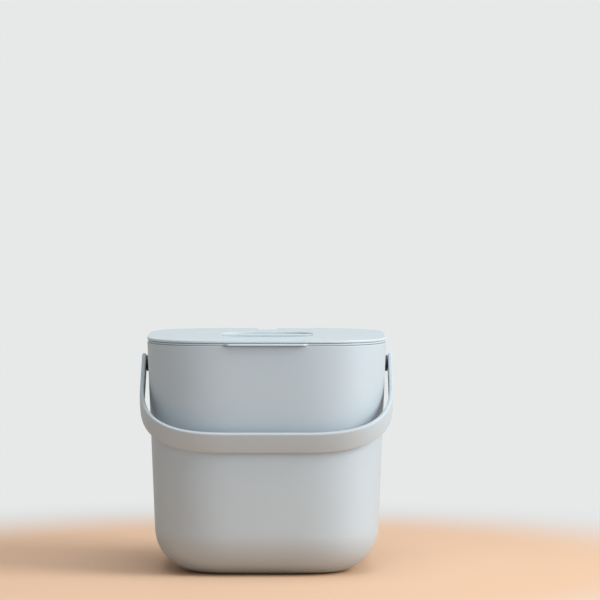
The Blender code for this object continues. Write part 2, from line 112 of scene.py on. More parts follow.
# Strainer basket
BASKET_WALL = 0.0018
BASKET_SEAT = BASKET_HIGH.z - BASKET_WALL
FLANGE_HALF = BASKET_HIGH.x
FLANGE_WIDTH = 0.0092
MOUTH_HALF = FLANGE_HALF - FLANGE_WIDTH
BASKET_DEPTH = BASKET_HIGH.z - BASKET_LOW.z - BASKET_WALL
BASKET_FILLET = 0.033
BASKET_DRAFT = math.radians(1.5)
FLANGE_ROUNDING = 0.0007
MOUTH_ROUNDING = 0.0018
EDGE_ARC_STEPS = 5
TAB_LENGTH = 0.068
TAB_SLANT = 0.004
TAB_REACH = -BASKET_LOW.y - FLANGE_HALF
TAB_CORNER = 0.0012
GUSSET_HEIGHT = 0.008
GUSSET_THICKNESS = 0.0016
GUSSET_SPACING = 0.058
GUSSET_TIP_SHARE = 0.25
GATE_RADIUS = 0.0034
GATE_DEPTH = 0.0003
GATE_SEGMENTS = 32

# Drain slots
SLOT_WIDTH = 0.0021
WALL_SLOT_WIDTH = 0.0024
WALL_SLOT_HEIGHT = 0.017
WALL_SLOTS = 32
FLOOR_SQUARE_HALF = 0.025
RING_MARGIN = 0.0041
RING_PITCH = 0.006
RING_EXPONENT = 2.75
MID_SLOT_LENGTH = 0.017
WEB_WIDTH = 0.006
OUTER_ARC_LENGTH = 0.0105
SLOT_PATH_STEPS = 7
SLOT_END_STEPS = 4

# Lid
LID_THICKNESS = 0.0024
LID_SEAT = LID_HIGH.z - LID_THICKNESS
LID_HALF = LID_HIGH.x
LID_ROUNDING = 0.0009
WELL_HALF = 0.0418
WELL_CORNER_REACH = 0.034
WELL_DEPTH = 0.020
WELL_FILLET = 0.012
WELL_DRAFT = math.radians(6.0)
WELL_MOUTH_ROUNDING = 0.0010
LIP_CLEARANCE = 0.0006
LIP_HEIGHT = 0.006
LIP_WALL = 0.0016
LIP_ROUNDING = 0.0005
LIP_ARC_STEPS = 3
NOTCH_WIDTH = 0.018
NOTCH_DEPTH = 0.0285
NOTCH_MOUTH_ROUNDING = 0.0035
NOTCH_STEPS = 12

# Grip bar
BAR_WIDTH = BAR_HIGH.y - BAR_LOW.y
BAR_HEIGHT = BAR_HIGH.z - BAR_LOW.z
BAR_ROUNDING = 0.0008
BAR_SEGMENTS = 4
BAR_EDGE_PROFILE = 0.5
TONGUE_WIDTH = 0.008
TONGUE_HEIGHT = 0.0022

# Shading of the edges
SHARP_ANGLE = math.radians(32)
FACE_AREA_WEIGHT = 60

# Steps of the outlines that are worked out
FINE_STEPS_PER_STEP = 24
TAB_SLANT_STEPS = 8
LEAST_COLUMN_TURN = 0.002
ANGLE_DIGITS = 7
REACH_SEARCH_STEPS = 40
REACH_SEARCH_SHARES = (0.5, 1.05)

# Camera of the photograph, in metres and in pixels of its frame
FRAME_PIXELS = 600
FOCAL_PIXELS = 3770
SENSOR_WIDTH = 36.0
CAMERA_PLACE = Vector((0.0306, -3.5, 0.406))
CAMERA_DIP = math.radians(2.59)
CLIP_START = 0.1
CLIP_END = 60

# Floor and light
FLOOR_RADIUS = 14.0
FLOOR_SEGMENTS = 96
FLOOR_ROUGHNESS = 0.7
FLOOR_SPECULAR = 0.2
FADE_START = 0.30
FADE_END = 0.66
BACKGROUND = (0.80, 0.815, 0.81, 1.0)
BACKGROUND_STRENGTH = 1.0
NEAR_FLOOR_COLOUR = (0.71, 0.475, 0.32, 1.0)
FAR_FLOOR_COLOUR = (0.60, 0.635, 0.66, 1.0)
AMBIENT_COLOUR = (0.98, 0.96, 0.92, 1.0)
AMBIENT_STRENGTH = 0.36

# Each lamp's name, place, aim, width, power and colour
LAMPS = (
    ("window", (2.3, -0.9, 1.3), (0, 0, 0.12), 1.6, 75, (0.96, 0.985, 1.0)),
    ("overhead", (0.2, -0.5, 2.6), (0, 0, 0.1), 2.2, 34, (0.97, 0.985, 1.0)),
    ("front", (0.4, -3.4, 1.8), (0, 0, 0.1), 2.0, 18, (0.645, 0.80, 1.0)),
)

# Plastic
BIN_COLOUR = (0.44, 0.495, 0.53, 1.0)
# The lid and basket share the bucket's plastic, drawn a little paler: a lit copy that paints in the extra light
# on the lid's top.
LIT_COPY_COLOUR = (0.50, 0.565, 0.60, 1.0)
BAR_COLOUR = (0.51, 0.575, 0.61, 1.0)
# The pins are near-black, and this dark colour also paints in the shade of the narrow gap between ear and wall.
PIN_COLOUR = (0.045, 0.05, 0.05, 1.0)
PLASTIC_IOR = 1.49
PLASTIC_SPECULAR = 0.42

# Each plastic's name, colour, roughness and the place where its mottling starts
PLASTICS = (
    ("bin_plastic_fine", BIN_COLOUR, 0.52, 0.0),
    ("handle_plastic_fine", BIN_COLOUR, 0.50, 3.1),
    ("lit_copy_plastic_fine", LIT_COPY_COLOUR, 0.50, 7.3),
    ("bar_plastic_fine", BAR_COLOUR, 0.48, 5.7),
    ("pin_plastic_fine", PIN_COLOUR, 0.38, 1.9),
)

# Scales of the plastic's patterns, in features per metre, and how much each changes the surface
MOTTLE_SCALE = 14
MOTTLE_DETAIL = 4
MOTTLE_DISTORTION = 0.6
DARK_SHARE = 0.972
LIGHT_SHARE = 1.022
GLOSS_SCALE = 46
GLOSS_DETAIL = 5
GLOSSIEST = -0.05
DULLEST = 0.06
GRAIN_SCALE = 2600
GRAIN_DETAIL = 2
GRAIN_STRENGTH = 0.12
GRAIN_DEPTH = 0.00005
# Edges found by pointiness are painted paler: a painted highlight along every edge.
EDGE_FROM = 0.53
EDGE_TO = 0.62
EDGE_HIGHLIGHT_MIX = 0.35
EDGE_HIGHLIGHT_PALER = 1.16


# Outlines

def running_lengths(points):
    """The length along a line of points, up to each of them."""
    lengths = [0]
    for a, b in zip(points, points[1:]):
        lengths.append(lengths[-1] + (b - a).length)
    return lengths


def corner_shares(steps):
    """Points from (1, 0) to (0, 1) along one corner of unit reach, evenly spaced."""
    fine = []
    count = steps * FINE_STEPS_PER_STEP
    for i in range(count + 1):
        angle = math.pi / 2 * i / count
        x = max(math.cos(angle), 0) ** (2 / CORNER_EXPONENT)
        fine.append(Vector((x, math.sin(angle) ** (2 / CORNER_EXPONENT))))
    fine[-1].x = 0
    lengths = running_lengths(fine)
    shares = []
    k = 0
    for i in range(steps + 1):
        wanted = lengths[-1] * i / steps
        while k < len(fine) - 2 and lengths[k + 1] < wanted:
            k += 1
        t = (wanted - lengths[k]) / (lengths[k + 1] - lengths[k])
        shares.append(fine[k].lerp(fine[k + 1], min(max(t, 0), 1)))
    return shares


CORNER_SHARES = corner_shares(CORNER_STEPS)
BAND_SHARES = corner_shares(BAND_CORNER_STEPS)


def turned(point, quarters):
    for _ in range(quarters):
        point = Vector((-point.y, point.x))
    return point


def outline(half, reach):
    """A square of half width half with corners of this reach, as points counter-clockwise from +X."""
    points = []
    flat = half - reach
    for turn in range(4):
        points += [turned(Vector((flat + reach * s.x, flat + reach * s.y)), turn) for s in CORNER_SHARES]
        for i in range(1, SIDE_STEPS):
            along = flat - 2 * flat * i / SIDE_STEPS
            points.append(turned(Vector((along, half)), turn))
    return points


def corner_reach(half):
    """The corner reach that keeps an outline parallel to the bucket's rim."""
    return max(BIN_CORNER_REACH - (BIN_HALF - half), half * LEAST_REACH_SHARE)


def well_reach(half):
    return max(WELL_CORNER_REACH - (WELL_HALF - half), half * LEAST_REACH_SHARE)


def outline_open_at_back(half):
    """An outline parallel to the rim but for its back side, counter-clockwise from the back left corner."""
    whole = outline(half, corner_reach(half))
    return whole[CORNER_STEPS + SIDE_STEPS:] + whole[:CORNER_STEPS + 1]


def side_at(half, along):
    """The distance of an outline from the middle, measured square to a side, at a place along that side."""
    reach = corner_reach(half)
    past = max(abs(along) - (half - reach), 0) / reach
    return half - reach + reach * max(1 - past ** CORNER_EXPONENT, 0) ** (1 / CORNER_EXPONENT)


def diagonal_reach(half):
    reach = corner_reach(half)
    return math.sqrt(2) * (half - reach + reach * 0.5 ** (1 / CORNER_EXPONENT))


def rounded(points, radii, steps=ARC_STEPS):
    """A profile through points, with each inner point rounded to its radius."""
    points = [Vector(p) for p in points]
    line = [points[0]]
    for before, corner, after, radius in zip(points, points[1:], points[2:], radii):
        a = (before - corner).normalized()
        b = (after - corner).normalized()
        if radius == 0:
            line.append(corner)
            continue
        opening = a.angle(b)
        centre = corner + (a + b).normalized() * radius / math.sin(opening / 2)
        start = corner + a * radius / math.tan(opening / 2)
        end = corner + b * radius / math.tan(opening / 2)
        first, last = start - centre, end - centre
        sweep = math.pi - opening
        turn = math.copysign(1, first.x * last.y - first.y * last.x)
        for i in range(steps + 1):
            angle = turn * sweep * i / steps
            spun = Vector((
                first.x * math.cos(angle) - first.y * math.sin(angle),
                first.x * math.sin(angle) + first.y * math.cos(angle),
            ))
            line.append(centre + spun)
    return line + [points[-1]]


def spaced(profile):
    """The profile with its long straight runs divided."""
    line = [profile[0]]
    for a, b in zip(profile, profile[1:]):
        count = max(1, math.ceil((b - a).length / LONGEST_STEP))
        line += [a.lerp(b, i / count) for i in range(1, count + 1)]
    return line


# Meshes

def loft(bm, rings):
    """Adds quads through closed rings of as many points each. Returns the rows of vertices."""
    rows = [[bm.verts.new(point) for point in ring] for ring in rings]
    for upper, lower in zip(rows, rows[1:]):
        for i in range(len(upper)):
            j = (i + 1) % len(upper)
            bm.faces.new((upper[i], upper[j], lower[j], lower[i]))
    return rows


def capped(bm, rows):
    bm.faces.new(rows[0])
    bm.faces.new(rows[-1])


def outward(bm):
    bmesh.ops.recalc_face_normals(bm, faces=bm.faces)
    return bm


def prism(bm, points, offset):
    """Adds the flat outline of points, extruded by offset."""
    rows = loft(bm, [points, [Vector(p) + Vector(offset) for p in points]])
    capped(bm, rows)


def cylinder(bm, radius, low, high, matrix, segments=PIN_SEGMENTS):
    """Adds a cylinder along matrix's Z between low and high."""
    place = matrix @ Matrix.Translation((0, 0, (low + high) / 2))
    bmesh.ops.create_cone(
        bm, cap_ends=True, segments=segments, radius1=radius, radius2=radius, depth=high - low, matrix=place
    )


def box(bm, low, high):
    centre = (Vector(low) + Vector(high)) / 2
    size = Vector(high) - Vector(low)
    bmesh.ops.create_cube(bm, size=1, matrix=Matrix.Translation(centre) @ Matrix.Diagonal((*size, 1)))


def new_object(name, bm):
    mesh = bpy.data.meshes.new(name)
    outward(bm).to_mesh(mesh)
    bm.free()
    obj = bpy.data.objects.new(name, mesh)
    bpy.context.scene.collection.objects.link(obj)
    return obj


def combine(obj, bm, operation):
    """Cuts bm's solid from obj, or joins it to obj."""
    tool = new_object("tool", bm)
    change = obj.modifiers.new("change", "BOOLEAN")
    change.operation = operation
    change.solver = "EXACT"
    change.object = tool
    bpy.context.view_layer.update()
    result = bpy.data.meshes.new_from_object(obj.evaluated_get(bpy.context.evaluated_depsgraph_get()))
    obj.modifiers.clear()
    old = obj.data
    result.name = old.name
    obj.data = result
    bpy.data.meshes.remove(old)
    bpy.data.objects.remove(tool)


def dress(obj, body, material, slot, *nodes):
    """Smooths and paints a piece, makes it stand for its CAD nodes and lets it ride on its body."""
    obj.data.shade_smooth()
    obj.data.set_sharp_from_angle(angle=SHARP_ANGLE)
    obj.data.materials.clear()
    obj.data.materials.append(material)
    even = obj.modifiers.new("even_shading", "WEIGHTED_NORMAL")
    even.keep_sharp = True
    even.mode = "FACE_AREA"
    even.weight = FACE_AREA_WEIGHT
    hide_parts(*nodes)
    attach(obj, body)


# Materials

def scaled(colour, share):
    return tuple(min(c * share, 1) for c in colour[:3]) + (1.0,)


def plastic(name, colour, roughness, mottle_seed):
    """Satin moulded plastic: fine grain, faint flow mottling, uneven gloss and a painted highlight that makes
    its edges slightly paler.
    """
    material = bpy.data.materials.new(name)
    material.use_nodes = True
    nodes = material.node_tree.nodes
    links = material.node_tree.links
    shader = nodes["Principled BSDF"]
    shader.inputs["IOR"].default_value = PLASTIC_IOR
    shader.inputs["Specular IOR Level"].default_value = PLASTIC_SPECULAR
    place = nodes.new("ShaderNodeTexCoord")
    offset = nodes.new("ShaderNodeMapping")
    offset.inputs["Location"].default_value = (mottle_seed, mottle_seed, mottle_seed)
    links.new(place.outputs["Object"], offset.inputs["Vector"])

    def noise(scale, detail, distortion=0.0):
        texture = nodes.new("ShaderNodeTexNoise")
        texture.inputs["Scale"].default_value = scale
        texture.inputs["Detail"].default_value = detail
        texture.inputs["Distortion"].default_value = distortion
        links.new(offset.outputs["Vector"], texture.inputs["Vector"])
        return texture

    mottle = noise(MOTTLE_SCALE, MOTTLE_DETAIL, MOTTLE_DISTORTION)
    tint = nodes.new("ShaderNodeMix")
    tint.data_type = "RGBA"
    tint.inputs["A"].default_value = scaled(colour, DARK_SHARE)
    tint.inputs["B"].default_value = scaled(colour, LIGHT_SHARE)
    links.new(mottle.outputs["Fac"], tint.inputs["Factor"])

    # Painted highlight: the colour is mixed towards a paler copy where the pointiness shows an edge.
    geometry = nodes.new("ShaderNodeNewGeometry")
    edge = nodes.new("ShaderNodeMapRange")
    edge.inputs["From Min"].default_value = EDGE_FROM
    edge.inputs["From Max"].default_value = EDGE_TO
    edge.inputs["To Max"].default_value = EDGE_HIGHLIGHT_MIX
    links.new(geometry.outputs["Pointiness"], edge.inputs["Value"])
    edge_highlight = nodes.new("ShaderNodeMix")
    edge_highlight.data_type = "RGBA"
    edge_highlight.inputs["B"].default_value = scaled(colour, EDGE_HIGHLIGHT_PALER)
    links.new(edge.outputs["Result"], edge_highlight.inputs["Factor"])
    links.new(tint.outputs["Result"], edge_highlight.inputs["A"])
    links.new(edge_highlight.outputs["Result"], shader.inputs["Base Color"])

    gloss = noise(GLOSS_SCALE, GLOSS_DETAIL)
    sheen = nodes.new("ShaderNodeMapRange")
    sheen.inputs["To Min"].default_value = roughness + GLOSSIEST
    sheen.inputs["To Max"].default_value = roughness + DULLEST
    links.new(gloss.outputs["Fac"], sheen.inputs["Value"])
    links.new(sheen.outputs["Result"], shader.inputs["Roughness"])

    grain = noise(GRAIN_SCALE, GRAIN_DETAIL)
    bump = nodes.new("ShaderNodeBump")
    bump.inputs["Strength"].default_value = GRAIN_STRENGTH
    bump.inputs["Distance"].default_value = GRAIN_DEPTH
    links.new(grain.outputs["Fac"], bump.inputs["Height"])
    links.new(bump.outputs["Normal"], shader.inputs["Normal"])
    return material


# Bucket

def bin_half_at(height):
    return BIN_HALF - (BIN_TOP - height) * math.tan(BIN_DRAFT)


def pivot_matrix(side):
    """The frame of a pivot: its Z runs outwards along the hinge line from the middle of the bucket."""
    return Matrix.Translation(HINGE) @ Matrix.Rotation(side * math.pi / 2, 4, "Y")


def build_bin(material):
    flat = bin_half_at(0) - BIN_FILLET - CAP_INSET
    profile = rounded(
        [
            (flat, 0), (bin_half_at(0), 0), (BIN_HALF, BIN_TOP), (BIN_HALF - BIN_WALL, BIN_TOP),
            (bin_half_at(BIN_WALL) - BIN_WALL, BIN_WALL), (flat, BIN_WALL),
        ],
        [BIN_FILLET, RIM_ROUNDING, RIM_ROUNDING, BIN_FILLET - BIN_WALL],
    )
    bm = bmesh.new()
    rings = [[(p.x, p.y, z) for p in outline(half, corner_reach(half))] for half, z in spaced(profile)]
    capped(bm, loft(bm, rings))
    body = new_object("bin_shell", bm)
    holes = bmesh.new()
    wall = bin_half_at(HINGE.z)
    for side in (-1, 1):
        cylinder(holes, PIN_RADIUS + SEAT_GAP, wall - BIN_WALL - OVERRUN, wall + OVERRUN, pivot_matrix(side))
    combine(body, holes, "DIFFERENCE")
    dress(body, "bin", material, "bin_plastic", "bin_body")


# Pivot pins

def build_pins(material):
    wall = bin_half_at(HINGE.z)
    ear = wall + EAR_CLEARANCE
    head = wall - BIN_WALL - SEAT_GAP - PIN_HEAD_RADIUS * math.tan(BIN_DRAFT)
    shoulder_inner = wall + SEAT_GAP + PIN_SHOULDER_RADIUS * math.tan(BIN_DRAFT)
    shoulder_outer = ear - SEAT_GAP
    journal_end = ear + PIN_JOURNAL_LENGTH
    profile = rounded(
        [
            (0, journal_end), (PIN_RADIUS, journal_end), (PIN_RADIUS, shoulder_outer),
            (PIN_SHOULDER_RADIUS, shoulder_outer), (PIN_SHOULDER_RADIUS, shoulder_inner),
            (PIN_RADIUS, shoulder_inner), (PIN_RADIUS, head), (PIN_HEAD_RADIUS, head),
            (PIN_RADIUS, head - PIN_HEAD_THICKNESS), (0, head - PIN_HEAD_THICKNESS),
        ],
        [PIN_ROUNDING, 0, PIN_ROUNDING, PIN_ROUNDING, 0, 0, PIN_ROUNDING, PIN_ROUNDING],
        steps=PIN_ARC_STEPS,
    )
    for side, name in ((-1, "pivot_pin_left"), (1, "pivot_pin_right")):
        place = pivot_matrix(side)
        bm = bmesh.new()
        rings = []
        for radius, along in profile[1:-1]:
            ring = []
            for i in range(PIN_SEGMENTS):
                angle = 2 * math.pi * i / PIN_SEGMENTS
                ring.append(place @ Vector((radius * math.cos(angle), radius * math.sin(angle), along)))
            rings.append(ring)
        capped(bm, loft(bm, rings))
        pin = new_object("snap_" + name, bm)
        dress(pin, "bin", material, "pin_plastic", name)


# Handle

def handle_reach():
    return bin_half_at(HINGE.z) + HANDLE_SLACK


def rest_angle():
    """How far below level the handle hangs when the lower inner edge of its band meets the front wall."""
    slope = math.tan(BIN_DRAFT)
    across = handle_reach() + slope * BAND_WIDTH / 2
    down = slope * handle_reach() - BAND_WIDTH / 2
    wall = bin_half_at(HINGE.z) + SEAT_GAP
    return math.atan2(down, across) + math.acos(wall / math.hypot(across, down))


def band_path():
    """Stations from the band's middle to its pivot: length so far, inner point and outward direction."""
    inner = bin_half_at(HINGE.z) + EAR_CLEARANCE
    flat = inner - HANDLE_CORNER_REACH
    run = handle_reach() - HANDLE_CORNER_REACH
    line = []
    for i in range(BAND_RUN_STEPS):
        line.append((Vector((flat * i / BAND_RUN_STEPS, -handle_reach())), Vector((0, -1))))
    for share in BAND_SHARES:
        x, y = share.y, share.x
        out = Vector((x ** (CORNER_EXPONENT - 1), -y ** (CORNER_EXPONENT - 1))).normalized()
        line.append((Vector((flat, -run)) + HANDLE_CORNER_REACH * Vector((x, -y)), out))
    for i in range(1, BAND_RUN_STEPS + 1):
        line.append((Vector((inner, -run + run * i / BAND_RUN_STEPS)), Vector((1, 0))))
    lengths = running_lengths([point for point, out in line])
    return [(length, *row) for length, row in zip(lengths, line)]


def band_at(path, length):
    """Inner point and outward direction of the band at a length from its middle, in the band's own plane."""
    side = math.copysign(1, length)
    along = abs(length)
    k = min(bisect.bisect_right([p[0] for p in path], along), len(path) - 1)
    (start, a, out_a), (end, b, out_b) = path[k - 1], path[k]
    share = (along - start) / (end - start)
    point = a + (b - a) * share
    out = out_a.lerp(out_b, min(share, 1)).normalized()
    return Vector((side * point.x, point.y)), Vector((side * out.x, out.y))


def band_half_width(depth):
    """Half the band's width at a depth before the hinge line, where it starts from the ear's radius."""
    return EAR_RADIUS + (BAND_WIDTH / 2 - EAR_RADIUS) * depth / handle_reach()


def build_handle(material):
    """A strip with round ends, rounded edges and a slightly crowned outer face, bent along the handle's U."""
    path = band_path()
    half_run = path[-1][0]
    stations = [-p[0] for p in path[-2:0:-1]] + [p[0] for p in path[:-1]]
    crown = []
    for i in range(CROWN_STEPS + 1):
        share = i / CROWN_STEPS
        crown.append((CROWN_REACH * (1 - share), BAND_THICKNESS - CROWN_DROP * share * share))
    edge = rounded(
        crown + [(0, 0), (RUN_ON_RADII * BAND_ROUNDING, 0)],
        [0] * (CROWN_STEPS - 1) + [BAND_ROUNDING, BAND_ROUNDING],
        steps=BAND_EDGE_STEPS,
    )[:-1]

    def strip_point(length, up, depth):
        inner, out = band_at(path, length)
        place = inner + out * depth
        return Vector((place.x, place.y, up))

    def strip_ring(inset, depth):
        """The band's outline on one skin: its upper edge, an ear, its lower edge and the other ear."""
        upper, lower = [], []
        for length in stations:
            half = band_half_width(-band_at(path, length)[0].y) - inset
            upper.append(strip_point(length, half, depth))
            lower.append(strip_point(length, -half, depth))
        ears = []
        for side in (1, -1):
            for i in range(EAR_STEPS + 1):
                angle = side * math.pi / 2 - math.pi * i / EAR_STEPS
                reach = EAR_RADIUS - inset
                length = side * half_run + reach * math.cos(angle)
                ears.append(strip_point(length, reach * math.sin(angle), depth))
        right, left = ears[:EAR_STEPS + 1], ears[EAR_STEPS + 1:]
        return upper + right + lower[::-1] + left

    bm = bmesh.new()
    rows = loft(bm, [strip_ring(inset, depth) for inset, depth in edge])
    count = len(stations)
    for row in (rows[0], rows[-1]):
        top = row[:count]
        ear_a = row[count:count + EAR_STEPS + 1]
        bottom = row[count + EAR_STEPS + 1:2 * count + EAR_STEPS + 1][::-1]
        ear_b = row[2 * count + EAR_STEPS + 1:][::-1]
        for i in range(count - 1):
            bm.faces.new((top[i], top[i + 1], bottom[i + 1], bottom[i]))
        bm.faces.new([top[-1]] + ear_a + [bottom[-1]])
        bm.faces.new([top[0]] + ear_b + [bottom[0]])
    handle = new_object("carry_handle", bm)
    bores = bmesh.new()
    ear = bin_half_at(HINGE.z) + EAR_CLEARANCE
    for side in (-1, 1):
        matrix = Matrix.Rotation(side * math.pi / 2, 4, "Y")
        cylinder(bores, PIN_RADIUS + SEAT_GAP, ear - OVERRUN, ear + PIN_JOURNAL_LENGTH + SEAT_GAP, matrix)
    combine(handle, bores, "DIFFERENCE")
    handle.data.transform(Matrix.Translation(HINGE) @ Matrix.Rotation(rest_angle(), 4, "X"))
    dress(handle, "handle", material, "bin_plastic", "handle")


# Strainer basket

def floor_top():
    return BASKET_WALL - BASKET_DEPTH


def floor_flat_half():
    """Half width of the flat part of the basket's floor."""
    corner = MOUTH_HALF - BASKET_DEPTH * math.tan(BASKET_DRAFT)
    return corner - BASKET_FILLET / math.tan((math.pi / 2 + BASKET_DRAFT) / 2)


def tab_ramp(x):
    """How much of the tab's reach the flange's front edge has at a place along it."""
    root = TAB_LENGTH / 2 + TAB_SLANT
    share = min(max((root - abs(x)) / TAB_SLANT, 0), 1)
    return share * share * (3 - 2 * share)


def basket_directions():
    """Angles of the basket's lofting columns: even round the flange, with more at the tab's slants."""
    angles = [math.atan2(p.y, p.x) for p in outline(FLANGE_HALF, corner_reach(FLANGE_HALF))]
    root = TAB_LENGTH / 2 + TAB_SLANT
    for i in range(TAB_SLANT_STEPS + 1):
        x = root + TAB_CORNER - (TAB_SLANT + 2 * TAB_CORNER) * i / TAB_SLANT_STEPS
        for side in (-1, 1):
            angles.append(math.atan2(-side_at(FLANGE_HALF, x), side * x))
    angles = sorted(set(round(a, ANGLE_DIGITS) for a in angles))
    kept = [angles[0]]
    for a in angles[1:]:
        if a - kept[-1] > LEAST_COLUMN_TURN:
            kept.append(a)
    return kept


def ray_reach(half, angle):
    """How far an outline of this half width reaches at an angle from the middle."""
    x, y = abs(math.cos(angle)), abs(math.sin(angle))
    if y > x:
        x, y = y, x
    reach = corner_reach(half)
    flat = half - reach
    if half * y / x <= flat:
        return half / x
    low, high = (half / x * share for share in REACH_SEARCH_SHARES)
    for _ in range(REACH_SEARCH_STEPS):
        middle = (low + high) / 2
        u = max(middle * x - flat, 0) / reach
        v = max(middle * y - flat, 0) / reach
        if u ** CORNER_EXPONENT + v ** CORNER_EXPONENT > 1:
            high = middle
        else:
            low = middle
    return low


def basket_shell():
    top = BASKET_WALL
    low = floor_top() - BASKET_WALL
    flat = floor_flat_half() - CAP_INSET
    edge_start = FLANGE_HALF - RUN_ON_RADII * FLANGE_ROUNDING
    outer_mouth = MOUTH_HALF + BASKET_WALL
    fall = math.tan(BASKET_DRAFT)
    inner = rounded(
        [(flat, floor_top()), (MOUTH_HALF - BASKET_DEPTH * fall, floor_top()), (MOUTH_HALF, top),
         (edge_start, top)],
        [BASKET_FILLET, MOUTH_ROUNDING],
    )
    edge = rounded(
        [(edge_start, top), (FLANGE_HALF, top), (FLANGE_HALF, 0), (edge_start, 0)],
        [FLANGE_ROUNDING, FLANGE_ROUNDING],
        steps=EDGE_ARC_STEPS,
    )
    outer = rounded(
        [(edge_start, 0), (outer_mouth, 0), (outer_mouth + low * fall, low), (flat, low)],
        [FLANGE_ROUNDING, BASKET_FILLET + BASKET_WALL],
    )
    angles = basket_directions()
    rings = []
    for profile, in_tab in ((spaced(inner), False), (edge, True), (spaced(outer), False)):
        for half, z in profile if not rings else profile[1:]:
            ring = []
            for angle in angles:
                reach = ray_reach(half, angle)
                x, y = reach * math.cos(angle), reach * math.sin(angle)
                if in_tab and y < 0:
                    x_flange = ray_reach(FLANGE_HALF, angle) * math.cos(angle)
                    y -= TAB_REACH * tab_ramp(x_flange)
                ring.append((x, y, z))
            rings.append(ring)
    bm = bmesh.new()
    capped(bm, loft(bm, rings))
    return bm


def gussets():
    """Thin ribs under the flange that run out to the bucket's wall and centre the basket."""
    bm = bmesh.new()
    wall = BIN_HALF - BIN_WALL - GUSSET_HEIGHT * math.tan(BIN_DRAFT)

    def gusset(place, mouth, outer):
        inner = mouth + BASKET_WALL / 2 - GUSSET_HEIGHT * math.tan(BASKET_DRAFT)
        foot = inner + BASKET_WALL
        low = -GUSSET_HEIGHT
        into = BASKET_WALL / 2
        shape = [(inner, into), (inner, low), (foot, low), (outer, low * GUSSET_TIP_SHARE), (outer, into)]
        points = [place @ Vector((x, -GUSSET_THICKNESS / 2, z)) for x, z in shape]
        prism(bm, points, place.to_3x3() @ Vector((0, GUSSET_THICKNESS, 0)))

    for turn in range(4):
        quarter = Matrix.Rotation(math.pi / 2 * turn, 4, "Z")
        for side in (-1, 1):
            place = quarter @ Matrix.Translation((0, side * GUSSET_SPACING, 0))
            gusset(place, side_at(MOUTH_HALF, GUSSET_SPACING), side_at(wall, GUSSET_SPACING) - SEAT_GAP)
        corner = Matrix.Rotation(math.pi / 4 + math.pi / 2 * turn, 4, "Z")
        gusset(corner, diagonal_reach(MOUTH_HALF), diagonal_reach(wall) - SEAT_GAP)
    return outward(bm)


def slot_cutter(bm, path, width, low, high):
    """Adds a slot cutter along path with round ends, between two heights."""
    left, right = [], []
    for i, point in enumerate(path):
        along = path[min(i + 1, len(path) - 1)] - path[max(i - 1, 0)]
        across = Vector((-along.y, along.x)).normalized() * width / 2
        left.append(point + across)
        right.append(point - across)

    def round_end(point, start):
        spun = []
        for i in range(1, SLOT_END_STEPS):
            angle = -math.pi * i / SLOT_END_STEPS
            spun.append(point + Matrix.Rotation(angle, 2) @ start)
        return spun

    shape = left + round_end(path[-1], left[-1] - path[-1])
    shape += right[::-1] + round_end(path[0], right[0] - path[0])
    prism(bm, [(p.x, p.y, low) for p in shape], (0, 0, high - low))


def ring_height(half, along):
    """How far out a squared ring lies from the axis at a place along it."""
    return half * (1 - (along / half) ** RING_EXPONENT) ** (1 / RING_EXPONENT)


def floor_slots():
    bm = bmesh.new()
    low = floor_top() - BASKET_WALL - OVERRUN
    high = floor_top() + OVERRUN
    outer = floor_flat_half() - RING_MARGIN
    rings = int((outer - FLOOR_SQUARE_HALF) / RING_PITCH)
    end_inset = SLOT_WIDTH / 2
    mid = MID_SLOT_LENGTH / 2 - end_inset
    start = MID_SLOT_LENGTH / 2 + WEB_WIDTH + end_inset
    for ring in range(rings + 1):
        half = outer - RING_PITCH * ring
        end = half * 0.5 ** (1 / RING_EXPONENT) - WEB_WIDTH / 2 / math.sqrt(2) - end_inset
        first = start if ring > 0 else max(end - OUTER_ARC_LENGTH / math.sqrt(2), start)
        paths = []
        if ring > 0:
            paths.append([Vector((half, -mid)), Vector((half, mid))])
        if end - first > 0:
            steps = [first + (end - first) * i / SLOT_PATH_STEPS for i in range(SLOT_PATH_STEPS + 1)]
            paths.append([Vector((ring_height(half, a), a)) for a in steps])
            paths.append([Vector((ring_height(half, a), -a)) for a in reversed(steps)])
        for path in paths:
            for turn in range(4):
                slot_cutter(bm, [turned(p, turn) for p in path], SLOT_WIDTH, low, high)
    return outward(bm)


def wall_slots():
    """Cutters of the slots up the basket's fillet, even along the edge of its flat floor."""
    half = floor_flat_half()
    loop = outline(half, corner_reach(half))
    loop.append(loop[0])
    lengths = running_lengths(loop)
    total = lengths[-1]
    middle = half - corner_reach(half)
    low = floor_top() - BASKET_WALL - OVERRUN
    high = floor_top() + WALL_SLOT_HEIGHT
    bm = bmesh.new()
    for slot in range(WALL_SLOTS):
        wanted = (total * slot / WALL_SLOTS - middle) % total
        i = max(k for k in range(len(loop) - 1) if lengths[k] <= wanted)
        foot = loop[i].lerp(loop[i + 1], (wanted - lengths[i]) / (lengths[i + 1] - lengths[i]))
        along = (loop[i + 1] - loop[i]).normalized()
        out = Vector((along.y, -along.x))
        foot += out * WALL_SLOT_WIDTH / 2
        far = foot + out * (BASKET_FILLET + BASKET_WALL + OVERRUN)
        slot_cutter(bm, [foot, far], WALL_SLOT_WIDTH, low, high)
    return outward(bm)


def build_basket(material):
    basket = new_object("basket_shell", basket_shell())
    combine(basket, gussets(), "UNION")
    combine(basket, floor_slots(), "DIFFERENCE")
    combine(basket, wall_slots(), "DIFFERENCE")
    gate = bmesh.new()
    low, high = floor_top() - GATE_DEPTH, floor_top() + OVERRUN
    cylinder(gate, GATE_RADIUS, low, high, Matrix.Identity(4), GATE_SEGMENTS)
    combine(basket, gate, "DIFFERENCE")
    basket.data.transform(Matrix.Translation((0, 0, BASKET_SEAT)))
    dress(basket, "basket", material, "pale_plastic", "strainer_basket")


# Lid

